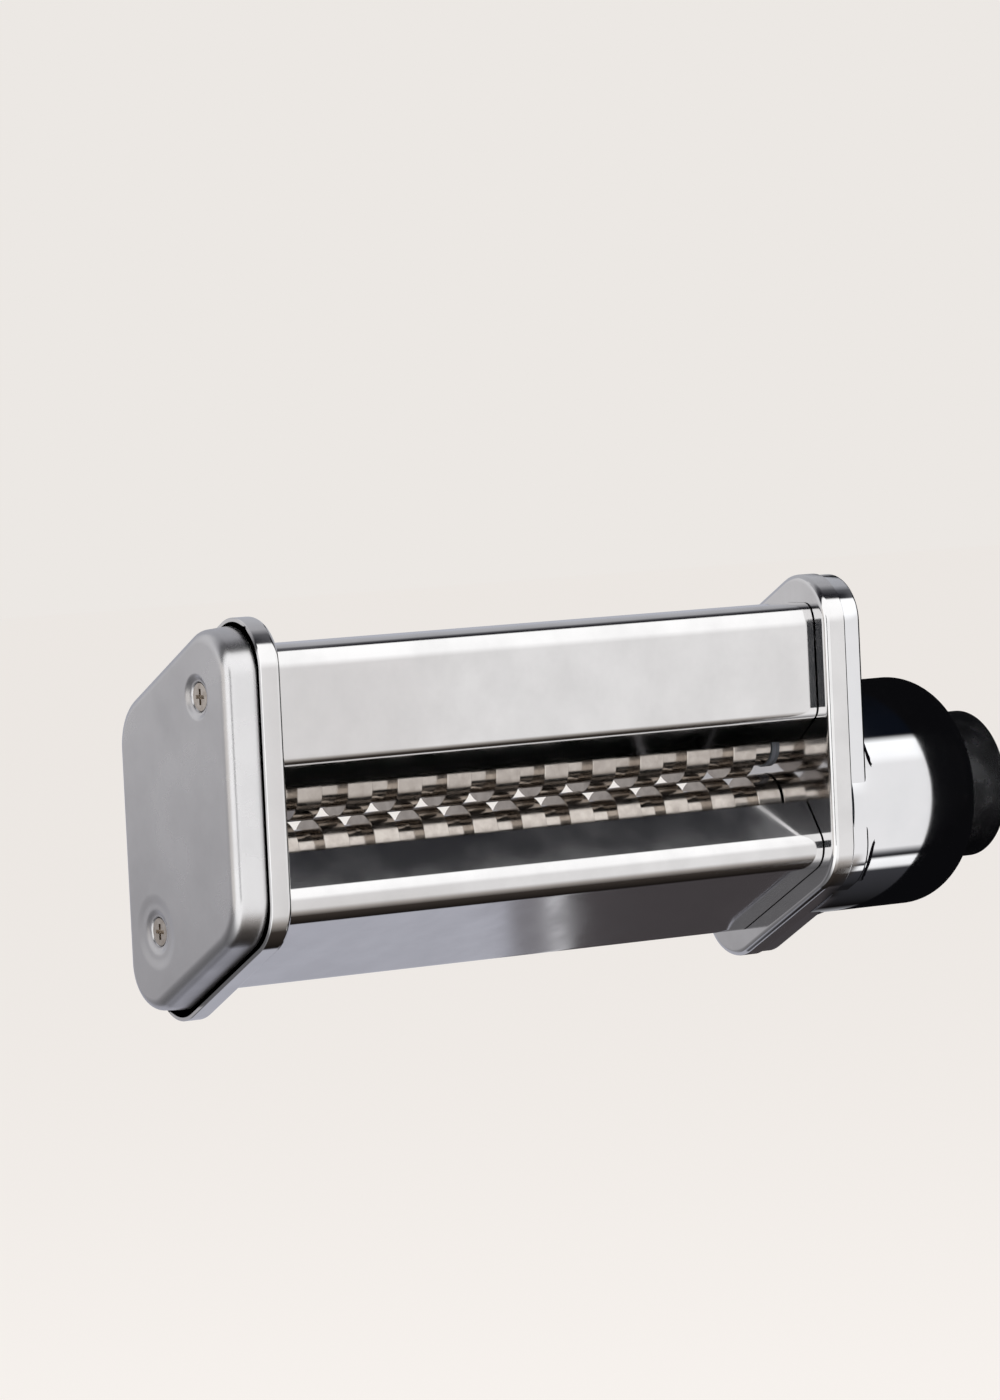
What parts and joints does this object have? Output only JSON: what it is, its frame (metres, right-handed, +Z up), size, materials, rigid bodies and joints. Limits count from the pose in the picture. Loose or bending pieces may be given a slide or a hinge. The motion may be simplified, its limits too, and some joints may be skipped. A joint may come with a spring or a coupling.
{
  "type": "pasta cutter attachment",
  "caption": "Fettuccine cutter for a stand mixer: two meshing grooved cutting rollers between steel covers, with an end cap, a round hub boss and a square drive end.",
  "frame": {"origin": "on the drive axis, at the shoulder of the hub boss where the hub spigot starts", "axes": "+X along the cutting rollers towards the mixer, +Y to the back, +Z up"},
  "size_m": [0.2362, 0.0542, 0.0904],
  "materials": {
    "polished_steel": "polished stainless sheet",
    "satin_steel": "bead-blasted satin stainless",
    "screw_steel": "plain zinc-plated",
    "spring_steel": "blackened",
    "roller_steel": "fine-turned",
    "turned_steel": "turned",
    "gear_steel": "sintered",
    "chromed_casting": "chromed die casting",
    "grey_nylon": "moulded",
    "grey_acetal": "moulded",
    "bronze": "sintered, oiled",
    "black_rubber": "moulded"
  },
  "bodies": {
    "frame": {"left_side_plate": "polished_steel", "right_side_plate": "polished_steel", "end_cap": "satin_steel", "end_cap_screws": "screw_steel", "cap_standoffs": "screw_steel", "upper_cover": "polished_steel", "lower_cover": "polished_steel", "upper_comb": "grey_acetal", "lower_comb": "grey_acetal", "comb_rods": "screw_steel", "comb_rod_clips": "spring_steel", "tie_rods": "screw_steel", "tie_rod_screws": "screw_steel", "roller_bushings": "grey_nylon", "hub_housing": "chromed_casting", "housing_screws": "screw_steel", "hub_collar": "turned_steel", "collar_screws": "spring_steel", "hub_bushing": "bronze", "shaft_seal": "black_rubber", "locating_pin": "turned_steel"},
    "lower_roller": {"lower_cutting_roller": "roller_steel", "lower_gear": "gear_steel", "lower_gear_clip": "spring_steel", "drive_shaft": "turned_steel", "drive_pin": "spring_steel"},
    "upper_roller": {"upper_cutting_roller": "roller_steel", "upper_gear": "gear_steel", "upper_gear_clip": "spring_steel"}
  },
  "joints": [
    {"name": "lower_roller_spin", "type": "hinge", "parent": "frame", "child": "lower_roller", "pos_m": [-0.1, 0, 0], "axis": [1, 0, 0], "continuous": true},
    {"name": "upper_roller_spin", "type": "hinge", "parent": "frame", "child": "upper_roller", "pos_m": [-0.1, 0, 0.0135], "axis": [1, 0, 0], "continuous": true}
  ],
  "couplings": [
    {"joint": "upper_roller_spin", "follows": "lower_roller_spin", "ratio": -1}
  ]
}
